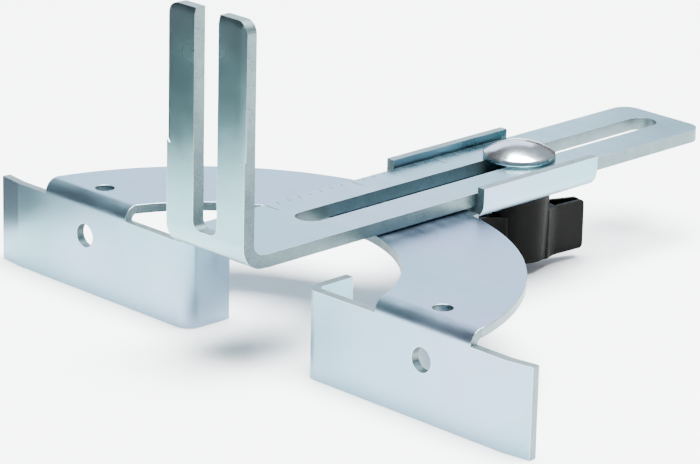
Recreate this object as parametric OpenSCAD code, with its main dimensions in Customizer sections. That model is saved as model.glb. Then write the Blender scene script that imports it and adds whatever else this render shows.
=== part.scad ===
// Straight side fence with a sliding fork bar.
// Millimetres. X runs along the fence, +Y goes back from the fence face, +Z is up.
// The origin is on the fence face, midway between the two flange screw holes.

/* [Fence sheet] */
// Thickness of the bent sheet
sheet_t = 2; // [1.8:0.1:2.2]
// Overall length of the fence along X
fence_len = 160; // [152:1:172]
// Height of the fence face below the top of the plate
fence_drop = 22.5; // [20:0.5:28]
// Distance of the flange screw holes below the top of the plate
screw_drop = 9.6; // [8:0.1:11]
// Spacing of the flange screw holes along X
screw_spacing = 102; // [92:1:108]
// Diameter of the flange screw holes
screw_d = 5.2; // [4:0.1:6]
// Diameter of the holes in the top of the plate
plate_hole_d = 4.3; // [3:0.1:5]
// Distance of the plate holes behind the fence face
plate_hole_y = 5.8; // [5.6:0.1:8]

/* [Crescent] */
// Radius of the crescent's outer edge
crescent_r = 66; // [63:0.5:67]
// Radius of the arch cut out of it
arch_r = 40.4; // [38:0.2:42]
// How far the centre of both arcs lies in front of the fence face
arc_ahead = 11.7; // [10:0.1:13]
// Outside radius of the bend from plate to flange
fold_r = 3.2; // [2.8:0.1:3.6]

/* [Fence ends] */
// Clear width between the two inner returns
return_gap = 35.2; // [32:0.2:38]
// How far each return reaches behind the fence face
return_depth = 12; // [8:0.5:13]
// Outside radius of the upright return bend
return_r = 3.5; // [3:0.1:4]
// Length of the lead-in at each outer end
lead_len = 6.5; // [4:0.5:8]
// Angle by which the lead-in leans back
lead_angle = 8; // [3:1:12]

/* [Channel] */
// Distance of the ears' front ends behind the fence face
ear_y = 56; // [55.5:0.5:60]
// Length of the ears
ear_len = 36.4; // [34:0.2:40]
// Height of the ears above the top of the plate
ear_h = 5.2; // [4.6:0.1:7]
// Inside radius of the ear bend
ear_r = 1.8; // [1.6:0.1:2]
// Side play between the bar and each ear
bar_play = 0.8; // [0.6:0.1:1.2]

/* [Slide bar] */
// Width of the bar
bar_w = 23.8; // [22:0.2:25]
// Thickness of the bar
bar_t = 2.9; // [2.6:0.1:3.2]
// Gap under the bar
bar_gap = 0.6; // [0.5:0.1:0.8]
// Distance of the bar's rear end behind the fence face
bar_back = 132; // [128:1:150]
// Radius of the bar's rear corners
bar_corner = 4; // [2:0.5:6]
// Width of the long slot
slot_w = 6.9; // [6.6:0.1:7.4]
// Front end of the long slot
slot_y0 = 15.2; // [12:0.2:20]
// Rear end of the long slot
slot_y1 = 127.7; // [110:0.5:127.7]

/* [Fork] */
// Distance of the fork face in front of the fence face
fork_ahead = 11.5; // [9:0.5:14]
// Height of the fork above the top of the plate
fork_h = 53; // [40:1:60]
// Width of the fork
fork_w = 23.3; // [21:0.1:23.5]
// Width of the gap between the prongs
fork_slot_w = 7.1; // [6.5:0.1:8]
// Height of the gap's floor above the top of the plate
fork_slot_z = 6.3; // [6.2:0.1:10]
// Radius of the prongs' outer top corners
prong_r = 2.8; // [1.5:0.1:4]
// Outside radius of the fork bend
fork_bend_r = 5.5; // [5:0.1:5.6]
// Width of the shallow bevel along the prongs' outer edges
bevel_w = 1.6; // [1:0.1:2]
// Depth of that bevel
bevel_d = 0.4; // [0.2:0.05:0.6]
// Height above the plate where the bevel ends
bevel_z = 24; // [18:1:30]

/* [Scale] */
// Distance between neighbouring scale marks
mark_pitch = 3.175; // [2:0.005:5]
// Distance of the first long mark behind the fence face
mark_y0 = 16.5; // [14:0.5:20]
// Number of steps along the scale
mark_steps = 23; // [8:1:24]
// Depth of the scale marks
mark_depth = 0.15; // [0.1:0.05:0.3]

/* [Clamp] */
// Distance of the clamp bolt behind the fence face
bolt_y = 82.8; // [80:0.2:85]
// Diameter of the clamp bolt's shank
bolt_d = 6; // [6:1:6]
// Diameter of the clamp bolt's head
head_d = 16.2; // [15.4:0.1:16.6]
// Height of the head's upright rim
head_rim = 1.1; // [0.8:0.1:1.5]
// Height of the whole head
head_h = 3.6; // [3.2:0.1:4]
// Width of the square neck across its flats
neck_w = 6.2; // [6:0.1:6.3]
// Length of the bolt below its head
bolt_len = 20; // [18:1:21]
// Outside diameter of the flat washer
washer_d = 12.5; // [11:0.5:18]
// Thickness of the flat washer
washer_t = 1.6; // [1:0.1:1.7]

/* [Wing knob] */
// Angle of the wings from the X axis
wing_angle = 76.5; // [0:0.5:180]
// Distance from the knob's axis to a wing tip
wing_reach = 17.2; // [15:0.1:20]
// Thickness of a wing at its root
wing_root_t = 6; // [5:0.1:7]
// Thickness of a wing at its tip
wing_tip_t = 2.8; // [2.4:0.1:3.5]
// Height of a wing
wing_h = 11.4; // [9:0.1:12]
// Distance of the wings' top edges below the hub's top
wing_drop = 4.8; // [4:0.1:5]
// Height of the whole knob
knob_h = 15.7; // [15.3:0.1:17]
// Diameter of the hub where it meets the washer
hub_d = 14.4; // [14:0.1:16]
// Diameter of the hub at its closed end
hub_end_d = 13.2; // [12:0.1:13.6]

/* [Hidden] */
$fn = 96;
inch = 25.4;
eps = 0.01;
face_gap = 0.05;
top_z = screw_drop;
flange_z0 = top_z - fence_drop;
flange_z1 = top_z - fold_r;
kink_x = fence_len / 2 - lead_len * cos(lead_angle);
ear_in = bar_w / 2 + bar_play;
ear_out = ear_in + sheet_t;
web_flat = ear_in - ear_r;
fold_inset = 0.15;
relief_w = 1.6;
bar_join_y = 40;
mark_w = 0.3;
mark_long = 4.3;
mark_short = 1.4;
washer_play = 0.4;
nut_play = 0.06;
knob_end_t = 1.6;
bar_z0 = top_z + bar_gap;
bar_z1 = bar_z0 + bar_t;
fork_y = -fork_ahead;
neck_h = bar_t + bar_gap + sheet_t * 0.6;
neck_play = 0.25;
washer_z1 = top_z - sheet_t - face_gap;
knob_z1 = washer_z1 - washer_t - face_gap;
knob_z0 = knob_z1 - knob_h;
shank_play = 0.06;
nut_flats = 10;
nut_t = 5;
nut_z1 = knob_z1 - 0.6;
wing_round = 1;
wing_wall = 0.9;
wing_pocket = 7;
wing_pocket_x = 8.8;
wing_x0 = 5.75;
wing_flare_x = 9.5;
wing_flare_r = 6;
wing_flare_step = 0.75;

function arc_x(r, y) = sqrt(r * r - (y + arc_ahead) * (y + arc_ahead));

steel = [0.72, 0.78, 0.79];
bar_steel = [0.69, 0.76, 0.76];
bolt_steel = [0.66, 0.68, 0.70];
black = [0.10, 0.10, 0.10];

module both_sides() {
    children();
    mirror([1, 0, 0]) children();
}

module rounded_rect(x0, x1, y0, y1, r) {
    union() {
        translate([x0 + r, y0]) square([x1 - x0 - 2 * r, y1 - y0]);
        translate([x0, y0 + r]) square([x1 - x0, y1 - y0 - 2 * r]);
        for (x = [x0 + r, x1 - r], y = [y0 + r, y1 - r]) translate([x, y]) circle(r);
    }
}

// A quarter tube along X: its arc runs from straight ahead (-Y) up to +Z
module quarter_tube_x(x0, x1, r_out, r_in) {
    translate([x0, 0, 0])
        rotate([90, 0, 90])
            linear_extrude(x1 - x0)
                intersection() {
                    difference() {
                        circle(r_out);
                        circle(r_in);
                    }
                    translate([-r_out - 1, 0]) square(r_out + 1);
                }
}

// Crescent, channel floor and all that lies flat in the plate, seen from above
module plate_outline() {
    difference() {
        union() {
            intersection() {
                translate([0, -arc_ahead]) circle(crescent_r, $fn = 240);
                translate([-crescent_r, fold_r]) square([2 * crescent_r, crescent_r]);
            }
            translate([-ear_out, arch_r]) square([2 * ear_out, ear_y - relief_w - arch_r]);
            translate([-web_flat, arch_r]) square([2 * web_flat, ear_y + ear_len - arch_r]);
        }
        translate([0, -arc_ahead]) circle(arch_r, $fn = 180);
    }
}

module plate_layer() {
    translate([0, 0, top_z - sheet_t])
        linear_extrude(sheet_t) plate_outline();
}

// Bend from plate to flange on the +X side
module plate_fold() {
    translate([0, fold_r, top_z - fold_r])
        quarter_tube_x(
            arc_x(arch_r, fold_r) + fold_inset, arc_x(crescent_r, fold_r) - fold_inset,
            fold_r, fold_r - sheet_t
        );
}

// Flange on the +X side seen from above: its return, its face and its lead-in
module flange_outline() {
    bend_x = return_gap / 2 + return_r;
    translate([bend_x, 0]) square([kink_x - bend_x, sheet_t]);
    translate([return_gap / 2, return_r]) square([sheet_t, return_depth - return_r]);
    translate([bend_x, return_r])
        intersection() {
            difference() {
                circle(return_r);
                circle(return_r - sheet_t);
            }
            translate([-return_r - 1, -return_r - 1]) square(return_r + 1);
        }
    translate([kink_x, 0])
        polygon([
            [0, 0],
            [lead_len * cos(lead_angle), lead_len * sin(lead_angle)],
            [lead_len * cos(lead_angle) - sheet_t * sin(lead_angle),
             lead_len * sin(lead_angle) + sheet_t * cos(lead_angle)],
            [-sheet_t * tan(lead_angle / 2), sheet_t]
        ]);
}

module flange() {
    translate([0, 0, flange_z0])
        linear_extrude(flange_z1 - flange_z0) flange_outline();
}

// Ear on the +X side: a quarter bend out of the channel floor and an upright wall
module ear_profile() {
    translate([web_flat, ear_r])
        intersection() {
            difference() {
                circle(ear_r + sheet_t);
                circle(ear_r);
            }
            translate([0, -ear_r - sheet_t - 1]) square(ear_r + sheet_t + 1);
        }
    translate([ear_in, ear_r]) square([sheet_t, ear_h - ear_r]);
}

module ear() {
    translate([0, ear_y + ear_len, top_z])
        rotate([90, 0, 0])
            linear_extrude(ear_len) ear_profile();
}

module fence_plate() {
    color(steel)
        difference() {
            union() {
                plate_layer();
                both_sides() {
                    plate_fold();
                    flange();
                    ear();
                }
            }
            for (side = [-1, 1]) {
                translate([side * screw_spacing / 2, -1, 0])
                    rotate([-90, 0, 0]) cylinder(d = screw_d, h = sheet_t + 2);
                translate([side * screw_spacing / 2, plate_hole_y, top_z - sheet_t - 1])
                    cylinder(d = plate_hole_d, h = sheet_t + 2);
            }
            translate([-neck_w / 2 - neck_play, bolt_y - neck_w / 2 - neck_play, top_z - sheet_t - 1])
                cube([neck_w + 2 * neck_play, neck_w + 2 * neck_play, sheet_t + 2]);
        }
}

// Bar seen from above, from the fork bend to its rounded rear end
module bar_outline() {
    bend_y = fork_y + fork_bend_r;
    step_y = bend_y + 0.4;
    difference() {
        union() {
            polygon([
                [-fork_w / 2, bend_y], [fork_w / 2, bend_y],
                [fork_w / 2, step_y], [bar_w / 2, step_y + 1],
                [bar_w / 2, bar_join_y], [-bar_w / 2, bar_join_y],
                [-bar_w / 2, step_y + 1], [-fork_w / 2, step_y]
            ]);
            translate([-bar_w / 2, bar_join_y - 1])
                square([bar_w, bar_back - bar_corner - bar_join_y + 1]);
            translate([-bar_w / 2 + bar_corner, bar_join_y - 1])
                square([bar_w - 2 * bar_corner, bar_back - bar_join_y + 1]);
            for (side = [-1, 1])
                translate([side * (bar_w / 2 - bar_corner), bar_back - bar_corner]) circle(bar_corner);
        }
        rounded_rect(-slot_w / 2, slot_w / 2, slot_y0, slot_y1, slot_w / 2 - eps);
    }
}

// Upright fork seen from the front; z is measured from the bend
module fork_outline(h) {
    difference() {
        union() {
            translate([-fork_w / 2, 0]) square([fork_w, h - prong_r]);
            translate([-fork_w / 2 + prong_r, 0]) square([fork_w - 2 * prong_r, h]);
            for (side = [-1, 1])
                translate([side * (fork_w / 2 - prong_r), h - prong_r]) circle(prong_r);
        }
        rounded_rect(-fork_slot_w / 2, fork_slot_w / 2, fork_slot_z - bar_gap - fork_bend_r, h + 9, 2);
    }
}

// Wedge that bevels the front outer edge of a prong; its low end runs out in a point
module prong_bevel(h) {
    slant = atan(bevel_d / bevel_w);
    translate([fork_w / 2 - bevel_w, 0, bevel_z])
        rotate([0, 0, slant])
            translate([0, -2, 0]) cube([bevel_w * 2, 2, h]);
    translate([fork_w / 2 - bevel_w, 0, bevel_z])
        rotate([0, 0, slant])
            rotate([0, 45, 0])
                translate([0, -2, 0]) cube([bevel_w * 0.7, 2, bevel_w * 0.7]);
}

// Wedge that bevels the front top edge of a prong
module crown_bevel() {
    slant = atan(bevel_d / bevel_w);
    translate([fork_slot_w / 2 - 1, 0, fork_h - bevel_w])
        rotate([-slant, 0, 0])
            translate([0, -2, 0]) cube([fork_w, 2, bevel_w * 2]);
    translate([fork_w / 2 - bevel_w, 0, fork_h - bevel_w])
        rotate([0, 45, 0])
            rotate([-slant, 0, 0])
                translate([-4, -2, 0.25]) cube([8, 2, 5]);
}

module fork() {
    bend_z = bar_gap + fork_bend_r;
    translate([0, fork_y, top_z])
        difference() {
            translate([0, bar_t, bend_z])
                rotate([90, 0, 0])
                    linear_extrude(bar_t) fork_outline(fork_h - bend_z);
            both_sides() {
                prong_bevel(fork_h - bevel_z + 5);
                crown_bevel();
            }
        }
}

module fork_bend() {
    translate([0, fork_y + fork_bend_r, bar_z0 + fork_bend_r])
        mirror([0, 0, 1])
            quarter_tube_x(-fork_w / 2, fork_w / 2, fork_bend_r, fork_bend_r - bar_t);
}

// Scale along the bar's -X edge: one long mark an inch, short marks between
module scale_marks() {
    for (i = [0:mark_steps]) {
        long_mark = i % round(inch / mark_pitch) == 0;
        mark_len = long_mark ? mark_long : mark_short;
        translate([-bar_w / 2 - 1, mark_y0 + i * mark_pitch - mark_w / 2, bar_z1 - mark_depth])
            cube([mark_len + 1, mark_w, 1]);
    }
}

module slide_bar() {
    color(bar_steel)
        difference() {
            union() {
                translate([0, 0, bar_z0])
                    linear_extrude(bar_t) bar_outline();
                fork_bend();
                fork();
            }
            scale_marks();
        }
}

module carriage_bolt() {
    head_z = bar_z1 + face_gap;
    dome_h = head_h - head_rim;
    dome_r = (head_d * head_d / 4 + dome_h * dome_h) / (2 * dome_h);
    color(bolt_steel)
        translate([0, bolt_y, head_z])
            union() {
                cylinder(d = head_d, h = head_rim);
                intersection() {
                    translate([0, 0, head_h - dome_r]) sphere(dome_r, $fn = 180);
                    cylinder(d = head_d, h = head_h + 1);
                }
                translate([-neck_w / 2, -neck_w / 2, -neck_h]) cube([neck_w, neck_w, neck_h]);
                translate([0, 0, -bolt_len]) cylinder(d = bolt_d, h = bolt_len);
            }
}

module flat_washer() {
    color(bolt_steel)
        translate([0, bolt_y, washer_z1 - washer_t])
            difference() {
                cylinder(d = washer_d, h = washer_t);
                translate([0, 0, -1]) cylinder(d = bolt_d + washer_play, h = washer_t + 2);
            }
}

module nut_shape(extra) {
    cylinder(d = (nut_flats + extra) / cos(30), h = nut_t, $fn = 6);
}

// Half the thickness of a wing at a distance x from the knob's axis; it flares into the hub
function wing_half(x) =
    let (taper = (wing_root_t - wing_tip_t) / 2 / (wing_reach - hub_d / 2))
    let (flare = max(0, wing_flare_x - x))
    wing_tip_t / 2 + (wing_reach - x) * taper + flare * flare / 2 / wing_flare_r;

// A shape symmetrical about the X axis from the points of its upper side, left to right
module mirrored_outline(upper) {
    lower = [for (i = [len(upper) - 1:-1:0]) [upper[i].x, -upper[i].y]];
    polygon(concat(upper, lower));
}

// One wing along +X of the knob's own frame, with a pocket in its top
module wing() {
    top = knob_h - wing_drop;
    flared = [for (x = [wing_x0:wing_flare_step:wing_flare_x]) [x, wing_half(x)]];
    pocket_x1 = wing_reach - wing_wall;
    difference() {
        intersection() {
            translate([0, 0, top - wing_h])
                linear_extrude(wing_h)
                    mirrored_outline(concat(
                        [[0, wing_half(wing_x0)]],
                        flared,
                        [[wing_reach, wing_half(wing_reach)]]
                    ));
            translate([0, wing_root_t, 0])
                rotate([90, 0, 0])
                    linear_extrude(2 * wing_root_t)
                        rounded_rect(-1, wing_reach, top - wing_h, top, wing_round);
        }
        translate([0, 0, top - wing_pocket])
            linear_extrude(knob_h)
                mirrored_outline([
                    [wing_pocket_x, wing_half(wing_pocket_x) - wing_wall],
                    [pocket_x1, wing_half(pocket_x1) - wing_wall]
                ]);
    }
}

module wing_knob() {
    bore_d = bolt_d + 2 * shank_play;
    color(black)
        translate([0, bolt_y, knob_z0])
            rotate([0, 0, wing_angle])
                difference() {
                    union() {
                        cylinder(d1 = hub_end_d, d2 = hub_d, h = knob_h);
                        wing();
                        rotate([0, 0, 180]) wing();
                    }
                    translate([0, 0, knob_end_t]) cylinder(d = bore_d, h = knob_h);
                    translate([0, 0, nut_z1 - nut_t - knob_z0]) nut_shape(nut_play);
                }
}

module knob_nut() {
    color(bolt_steel)
        translate([0, bolt_y, nut_z1 - nut_t])
            rotate([0, 0, wing_angle])
                difference() {
                    nut_shape(0);
                    translate([0, 0, -1]) cylinder(d = bolt_d + 2 * shank_play, h = nut_t + 2);
                }
}

fence_plate();
slide_bar();
carriage_bolt();
flat_washer();
wing_knob();
knob_nut();
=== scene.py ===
"""Looks for the straight side fence with a sliding fork bar. Metres, in the CAD frame."""
import math

import bmesh
import bpy
from mathutils import Matrix, Vector
from mathutils.bvhtree import BVHTree


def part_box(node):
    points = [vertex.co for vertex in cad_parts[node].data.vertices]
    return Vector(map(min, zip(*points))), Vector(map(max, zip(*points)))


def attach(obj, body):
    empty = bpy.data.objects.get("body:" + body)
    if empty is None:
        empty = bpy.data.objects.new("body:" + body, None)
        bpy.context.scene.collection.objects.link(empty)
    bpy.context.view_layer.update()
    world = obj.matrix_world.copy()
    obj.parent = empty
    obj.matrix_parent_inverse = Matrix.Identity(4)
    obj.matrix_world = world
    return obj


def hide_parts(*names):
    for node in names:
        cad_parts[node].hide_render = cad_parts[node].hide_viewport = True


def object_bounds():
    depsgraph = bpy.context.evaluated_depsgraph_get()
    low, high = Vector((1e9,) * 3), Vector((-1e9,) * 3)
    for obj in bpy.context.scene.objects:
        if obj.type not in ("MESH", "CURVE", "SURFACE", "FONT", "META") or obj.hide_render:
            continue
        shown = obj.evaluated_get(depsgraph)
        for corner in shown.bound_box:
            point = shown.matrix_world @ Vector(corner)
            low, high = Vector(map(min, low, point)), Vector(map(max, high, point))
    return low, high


MM = 0.001
SHEET = 2.0 * MM
BAR = 2.9 * MM
ROLLED_SKIN = 0
CUT_SKIN = 1
GROOVE_SKIN = 2
WELD = 0.002 * MM
RAY_START = 0.01 * MM
FLAT_ANGLE = math.radians(0.6)
CORNER_ANGLE = math.radians(32.0)
GROOVE_LEAST = 0.03 * MM
GROOVE_MOST = 0.3 * MM
THICKNESS_SLACK = 1.12
FLAG_GREY = (0.038, 0.028, 0.028)
FLOOR_WHITE = (0.95, 0.92, 0.90)
COOL = (0.93, 0.98, 1.0)
BLUE = (0.74, 0.80, 1.0)
CAMERA_PLACE = (0.50180, -0.47146, 0.24451)
LIT_PLACE = (0, 0.05, 0)

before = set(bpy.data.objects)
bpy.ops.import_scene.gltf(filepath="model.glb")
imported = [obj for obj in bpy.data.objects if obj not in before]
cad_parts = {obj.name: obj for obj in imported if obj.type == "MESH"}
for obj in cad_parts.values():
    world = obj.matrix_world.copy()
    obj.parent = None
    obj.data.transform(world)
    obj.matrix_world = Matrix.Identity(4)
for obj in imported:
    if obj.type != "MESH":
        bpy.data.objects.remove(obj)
cad_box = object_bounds()
BAR_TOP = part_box("slide_bar")[0][2] + BAR


# ---------------------------------------------------------------- node helpers

class Shader:
    """A material's node tree, with short calls for the nodes used here."""

    def __init__(self, name):
        self.material = bpy.data.materials.new(name)
        self.material.use_nodes = True
        self.tree = self.material.node_tree
        self.surface = self.tree.nodes["Principled BSDF"]
        self.place = self.tree.nodes.new("ShaderNodeTexCoord").outputs["Object"]

    def node(self, kind, inputs=(), **settings):
        made = self.tree.nodes.new("ShaderNode" + kind)
        for key, value in settings.items():
            setattr(made, key, value)
        for key, value in dict(inputs).items():
            self.put(made.inputs[key], value)
        return made

    def put(self, socket, value):
        if isinstance(value, bpy.types.NodeSocket):
            self.tree.links.new(value, socket)
        else:
            socket.default_value = value

    def stretched(self, scale):
        return self.node("Mapping", {"Vector": self.place, "Scale": scale}).outputs["Vector"]

    def noise(self, scale, detail=3.0, rough=0.5, vector=None):
        made = self.node("TexNoise", {
            "Vector": vector or self.place, "Scale": scale, "Detail": detail, "Roughness": rough})
        return made.outputs["Fac"]

    def ramp(self, fac, stops):
        made = self.node("ValToRGB", {"Fac": fac})
        band = made.color_ramp
        while len(band.elements) < len(stops):
            band.elements.new(0.5)
        for element, (place, colour) in zip(band.elements, stops):
            element.position = place
            element.color = (*colour, 1.0)
        return made.outputs["Color"]

    def blend(self, fac, a, b, mode="MIX"):
        made = self.node("Mix", data_type="RGBA", blend_type=mode)
        self.put(made.inputs["Factor"], fac)
        self.put(made.inputs["A"], a)
        self.put(made.inputs["B"], b)
        return made.outputs["Result"]

    def spread(self, fac, low, high, from_low=0.3, from_high=0.7):
        made = self.node("MapRange", {
            "Value": fac, "From Min": from_low, "From Max": from_high, "To Min": low, "To Max": high})
        return made.outputs["Result"]

    def relief(self, height, strength, distance, below=None):
        inputs = {"Height": height, "Strength": strength, "Distance": distance}
        if below:
            inputs["Normal"] = below
        return self.node("Bump", inputs).outputs["Normal"]

    def edge_wear_and_highlight(self, radius, low, high):
        """1 along convex edges, 0 on open faces: the mask for worn edges and painted edge highlights."""
        bevel = self.node("Bevel", {"Radius": radius}, samples=4).outputs["Normal"]
        geometry = self.node("NewGeometry")
        dot = self.node("VectorMath", operation="DOT_PRODUCT")
        self.put(dot.inputs[0], bevel)
        self.put(dot.inputs[1], geometry.outputs["Normal"])
        return self.spread(dot.outputs["Value"], 1.0, 0.0, low, high)


# ---------------------------------------------------------------- materials

def zinc(name, pale, cool, warm, rough, tint_scale=24.0):
    """Blue-passivated zinc on rolled steel: cloudy tint, soft gloss, fine rolled grain."""
    m = Shader(name)
    cloud = m.noise(tint_scale, 2.0, 0.45)
    tint = m.ramp(cloud, [(0.34, cool), (0.5, pale), (0.66, warm)])
    grain = m.noise(2600.0, 4.0, 0.6)
    speck = m.ramp(grain, [(0.25, (0.88, 0.89, 0.90)), (0.6, (1.0, 1.0, 1.0))])
    colour = m.blend(0.6, tint, speck, "MULTIPLY")
    # Pale along the convex edges: part wear, part painted highlight.
    wear_and_highlight = m.edge_wear_and_highlight(0.3 * MM, 0.80, 0.99)
    colour = m.blend(m.spread(wear_and_highlight, 0.0, 0.7, 0.0, 1.0), colour, (0.86, 0.93, 0.93, 1.0))
    m.put(m.surface.inputs["Base Color"], colour)
    m.surface.inputs["Metallic"].default_value = 1.0
    smear = m.noise(60.0, 3.0, 0.6, m.stretched((1.0, 3.0, 1.0)))
    m.put(m.surface.inputs["Roughness"], m.spread(smear, rough - 0.05, rough + 0.07))
    fine = m.relief(m.noise(2300.0, 3.0, 0.55), 0.10, 0.02 * MM)
    m.put(m.surface.inputs["Normal"], m.relief(m.noise(170.0, 2.0, 0.5), 0.14, 0.05 * MM, fine))
    return m.material


def sheared(name, dark, light):
    """A cut edge of the sheet: darker, matt, torn across its thickness."""
    m = Shader(name)
    tear = m.noise(3200.0, 4.0, 0.6)
    patch = m.noise(260.0, 2.0, 0.5)
    colour = m.blend(m.spread(patch, 0.0, 0.4), m.ramp(tear, [(0.3, dark), (0.7, light)]), (*light, 1.0))
    m.put(m.surface.inputs["Base Color"], colour)
    m.surface.inputs["Metallic"].default_value = 0.9
    m.put(m.surface.inputs["Roughness"], m.spread(tear, 0.36, 0.52))
    coarse = m.relief(m.noise(1400.0, 3.0, 0.6), 0.25, 0.06 * MM)
    m.put(m.surface.inputs["Normal"], m.relief(tear, 0.25, 0.03 * MM, coarse))
    return m.material


def pressed_marks():
    """The bottoms and sides of the scale's grooves: dull, with painted shade that makes them nearly
    black.
    """
    m = Shader("pressed_marks")
    groove_mottle = m.noise(2200.0, 3.0, 0.6)
    # Painted shade: the grooves are coloured nearly black.
    colour = m.ramp(groove_mottle, [(0.3, (0.02, 0.03, 0.03)), (0.7, (0.06, 0.08, 0.085))])
    m.put(m.surface.inputs["Base Color"], colour)
    m.surface.inputs["Metallic"].default_value = 0.6
    m.put(m.surface.inputs["Roughness"], m.spread(groove_mottle, 0.50, 0.65))
    m.put(m.surface.inputs["Normal"], m.relief(groove_mottle, 0.3, 0.03 * MM))
    return m.material


def bright_zinc():
    """Cold-headed, bright plated bolt head: nearly polished, with faint ripples."""
    m = Shader("bright_zinc")
    cloud = m.noise(160.0, 2.0, 0.5)
    colour = m.ramp(cloud, [(0.35, (0.40, 0.47, 0.50)), (0.65, (0.56, 0.60, 0.62))])
    m.put(m.surface.inputs["Base Color"], colour)
    m.surface.inputs["Metallic"].default_value = 1.0
    m.put(m.surface.inputs["Roughness"], m.spread(m.noise(420.0, 3.0, 0.6), 0.14, 0.22))
    m.put(m.surface.inputs["Normal"], m.relief(m.noise(300.0, 3.0, 0.5), 0.14, 0.04 * MM))
    return m.material


def black_nylon():
    """Satin black moulded nylon with a fine spark-eroded texture."""
    m = Shader("black_nylon")
    fine = m.noise(2400.0, 4.0, 0.6)
    broad = m.noise(90.0, 2.0, 0.5)
    colour = m.ramp(broad, [(0.35, (0.003, 0.003, 0.0028)), (0.65, (0.005, 0.005, 0.0045))])
    # Lighter along the convex edges, from the same mask: part wear, part painted highlight.
    wear_and_highlight = m.edge_wear_and_highlight(0.3 * MM, 0.85, 0.995)
    m.put(m.surface.inputs["Base Color"], m.blend(
        m.spread(wear_and_highlight, 0.0, 0.4, 0.0, 1.0), colour, (0.03, 0.03, 0.028, 1.0)))
    m.put(m.surface.inputs["Roughness"], m.spread(fine, 0.34, 0.46))
    m.surface.inputs["Specular IOR Level"].default_value = 0.03
    m.put(m.surface.inputs["Normal"], m.relief(fine, 0.2, 0.04 * MM))
    return m.material


plate_zinc = zinc("plate_zinc", (0.20, 0.33, 0.41), (0.17, 0.33, 0.38), (0.24, 0.32, 0.43), 0.30)
bar_zinc = zinc("bar_zinc", (0.19, 0.34, 0.37), (0.16, 0.33, 0.35), (0.22, 0.34, 0.39), 0.24, 30.0)
plate_cut = sheared("plate_cut", (0.05, 0.075, 0.08), (0.17, 0.23, 0.24))
bar_cut = sheared("bar_cut", (0.05, 0.075, 0.08), (0.16, 0.22, 0.23))
marks = pressed_marks()
bolt_zinc = bright_zinc()
nylon = black_nylon()


# ---------------------------------------------------------------- pieces

def in_groove(face, top):
    """True for the floors and walls of the shallow grooves pressed into the bar's top."""
    depth = top - face.calc_center_median().z
    return GROOVE_LEAST < depth < GROOVE_MOST and max(top - v.co.z for v in face.verts) < GROOVE_MOST


def is_corner(edge):
    """True where two faces meet at a sharp angle, away from the scale's grooves."""
    if len(edge.link_faces) != 2 or any(face.material_index == GROOVE_SKIN for face in edge.link_faces):
        return False
    return edge.calc_face_angle() > CORNER_ANGLE


def sort_faces(mesh, thickness, grooved):
    """Gives each face its skin: rolled where the metal behind it is one sheet thick, else cut."""
    tree = BVHTree.FromBMesh(mesh)
    for face in mesh.faces:
        inward = -face.normal
        distance = tree.ray_cast(face.calc_center_median() + inward * RAY_START, inward)[3]
        rolled = distance is not None and distance < THICKNESS_SLACK * thickness
        face.material_index = ROLLED_SKIN if rolled else CUT_SKIN
        if grooved and in_groove(face, BAR_TOP):
            face.material_index = GROOVE_SKIN


def welded_copy(source):
    """The source object's mesh in the frame, with its doubled points joined."""
    mesh = bmesh.new()
    mesh.from_mesh(source.data)
    mesh.transform(source.matrix_world)
    bmesh.ops.remove_doubles(mesh, verts=mesh.verts, dist=WELD)
    mesh.normal_update()
    return mesh


def break_edges(piece, width, segments):
    """Rounds the marked corners and keeps the wide flat faces flat."""
    bevel = piece.modifiers.new("broken_edges", "BEVEL")
    bevel.limit_method = "WEIGHT"
    bevel.width = width
    bevel.segments = segments
    level = piece.modifiers.new("level_faces", "WEIGHTED_NORMAL")
    level.keep_sharp = True
    level.weight = 100


def rounded_copy(node, name, skins, thickness, width, segments, body):
    """The CAD node's own shape as a new piece, with its edges broken.

    skins is one material, or those of the rolled faces, the cut edges and the grooves.
    """
    mesh = welded_copy(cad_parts[node])
    if thickness:
        sort_faces(mesh, thickness, len(skins) > GROOVE_SKIN)
    bmesh.ops.dissolve_limit(
        mesh, angle_limit=FLAT_ANGLE, verts=mesh.verts, edges=mesh.edges, delimit={"MATERIAL"})
    weight = mesh.edges.layers.float.new("bevel_weight_edge")
    for edge in mesh.edges:
        edge[weight] = 1.0 if is_corner(edge) else 0.0
    for face in mesh.faces:
        face.smooth = True
    data = bpy.data.meshes.new(name)
    mesh.to_mesh(data)
    mesh.free()
    data.set_sharp_from_angle(angle=CORNER_ANGLE)
    for skin in skins:
        data.materials.append(skin)
    piece = bpy.data.objects.new(name, data)
    bpy.context.collection.objects.link(piece)
    break_edges(piece, width, segments)
    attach(piece, body)
    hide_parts(node)


rounded_copy("fence_plate", "fence_sheet", (plate_zinc, plate_cut), SHEET,
             0.18 * MM, 2, "fence")
rounded_copy("slide_bar", "fork_bar", (bar_zinc, bar_cut, marks), BAR,
             0.12 * MM, 2, "bar")
rounded_copy("carriage_bolt", "clamp_bolt", (bolt_zinc,), 0, 0.3 * MM, 3, "fence")
rounded_copy("wing_knob", "clamp_knob", (nylon,), 0, 0.35 * MM, 3, "knob")
for name in ("flat_washer", "knob_nut"):
    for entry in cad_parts[name].material_slots:
        entry.material = bolt_zinc


# ---------------------------------------------------------------- stage, camera, light

def stage_sheet(name, corners, shade):
    """A flat sheet of matt studio paper."""
    mesh = bpy.data.meshes.new(name)
    mesh.from_pydata(corners, [], [(0, 1, 2, 3)])
    sheet = bpy.data.objects.new(name, mesh)
    bpy.context.collection.objects.link(sheet)
    m = Shader(name + "_paper")
    low = [0.98 * part for part in shade]
    high = [1.02 * part for part in shade]
    m.put(m.surface.inputs["Base Color"], m.ramp(m.noise(3.0, 2.0), [(0.3, low), (0.7, high)]))
    m.put(m.surface.inputs["Roughness"], m.spread(m.noise(900.0), 0.7, 0.8))
    mesh.materials.append(m.material)
    return sheet


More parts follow.
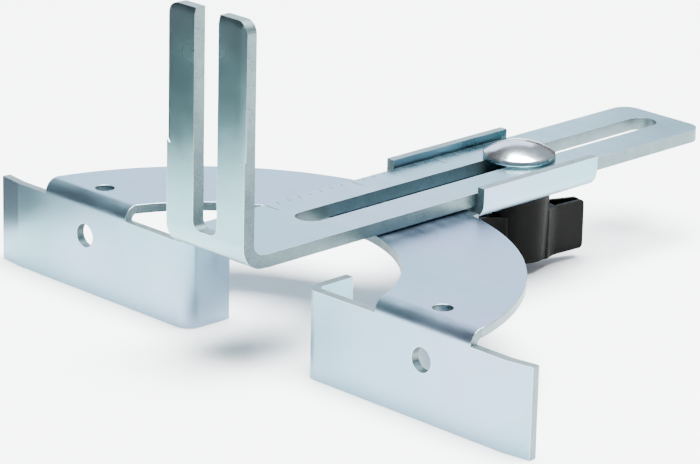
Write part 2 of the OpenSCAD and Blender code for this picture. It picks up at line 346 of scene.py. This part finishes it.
def make_floor():
    half = 6.0
    low = cad_box[0][2] - 0.02 * MM
    corners = [(-half, -half, low), (half, -half, low), (half, half, low), (-half, half, low)]
    stage_sheet("floor", corners, FLOOR_WHITE)


def flag(name, middle, across, up, shade):
    """A card, from its middle and two half sides, that shows in polished faces alone."""
    corners = [middle - across - up, middle + across - up, middle + across + up, middle - across + up]
    sheet = stage_sheet(name, corners, shade)
    sheet.visible_camera = False
    sheet.visible_shadow = False
    sheet.visible_diffuse = False


def make_card(name, centre, size, shade):
    """A flag that faces the object, so that its polished faces have something dark to show."""
    middle = Vector(centre)
    ahead = middle.normalized()
    across = ahead.cross(Vector((0, 0, 1))).normalized()
    up = across.cross(ahead)
    across *= size[0] / 2
    up *= size[1] / 2
    flag(name, middle, across, up, shade)


def make_floor_card(name, centre, size, shade):
    """A flag laid on the floor, turned to face the object."""
    middle = Vector((centre[0], centre[1], cad_box[0][2] + 1.0 * MM))
    ahead = Vector((centre[0], centre[1], 0)).normalized() * size[1] / 2
    across = Vector((-ahead.y, ahead.x, 0)).normalized() * size[0] / 2
    flag(name, middle, across, ahead, shade)


def make_camera():
    """A long lens, well back, that looks down on the fence's front right corner."""
    azimuth = math.radians(45.0)
    elevation = math.radians(18.5)
    roll = 0.023
    ahead = Vector((-math.sin(azimuth) * math.cos(elevation),
                    math.cos(azimuth) * math.cos(elevation), -math.sin(elevation)))
    right = Vector((math.cos(azimuth), math.sin(azimuth), 0.0))
    up = right.cross(ahead)
    right_rolled = math.cos(roll) * right + math.sin(roll) * up
    up_rolled = -math.sin(roll) * right + math.cos(roll) * up
    data = bpy.data.cameras.new("camera")
    data.sensor_width = 36.0
    data.lens = 181.3
    data.clip_start = 0.01
    data.clip_end = 50.0
    camera = bpy.data.objects.new("camera", data)
    turn = Matrix((right_rolled, up_rolled, -ahead)).transposed().to_4x4()
    camera.matrix_world = Matrix.Translation(CAMERA_PLACE) @ turn
    bpy.context.collection.objects.link(camera)
    bpy.context.scene.camera = camera


def area_light(name, place, size, power, tint):
    """A soft box that faces the object."""
    data = bpy.data.lights.new(name, "AREA")
    data.shape = "RECTANGLE"
    data.size, data.size_y = size
    data.energy = power
    data.color = tint
    light = bpy.data.objects.new(name, data)
    light.location = place
    light.rotation_euler = (Vector(LIT_PLACE) - Vector(place)).to_track_quat("-Z", "Y").to_euler()
    bpy.context.collection.objects.link(light)


def make_world():
    """Sky: a cool grey, dimmer below and near the horizon than overhead."""
    world = bpy.data.worlds.new("studio")
    world.use_nodes = True
    tree = world.node_tree
    place = tree.nodes.new("ShaderNodeTexCoord")
    split = tree.nodes.new("ShaderNodeSeparateXYZ")
    ramp = tree.nodes.new("ShaderNodeValToRGB")
    ramp.color_ramp.elements[0].position = 0.0
    ramp.color_ramp.elements[0].color = (0.40, 0.48, 0.56, 1.0)
    ramp.color_ramp.elements[1].position = 0.7
    ramp.color_ramp.elements[1].color = (0.62, 0.68, 0.73, 1.0)
    tree.links.new(place.outputs["Generated"], split.inputs[0])
    tree.links.new(split.outputs["Z"], ramp.inputs["Fac"])
    tree.links.new(ramp.outputs["Color"], tree.nodes["Background"].inputs["Color"])
    tree.nodes["Background"].inputs["Strength"].default_value = 1.0
    bpy.context.scene.world = world


make_floor()
make_floor_card("floor_flag", (-0.48, -0.48), (0.80, 1.08), FLAG_GREY)
make_floor_card("lead_flag", (-0.138, -0.024), (0.07, 0.09), FLAG_GREY)
make_card("left_flag", (-0.85, -0.55, 0.33), (1.1, 0.72), FLAG_GREY)
make_card("high_flag", (-0.64, -0.10, 0.64), (1.0, 0.46), FLAG_GREY)
make_card("back_flag", (-0.40, 0.95, 0.14), (0.50, 0.32), FLAG_GREY)
make_card("right_flag", (0.75, -0.30, 0.75), (0.7, 0.7), FLAG_GREY)
make_camera()
make_world()
area_light("top_soft", (0.1, 0.1, 1.1), (0.9, 0.9), 120.0, COOL)
area_light("back_soft", (-0.85, 0.80, 0.46), (0.7, 0.6), 4.2, BLUE)
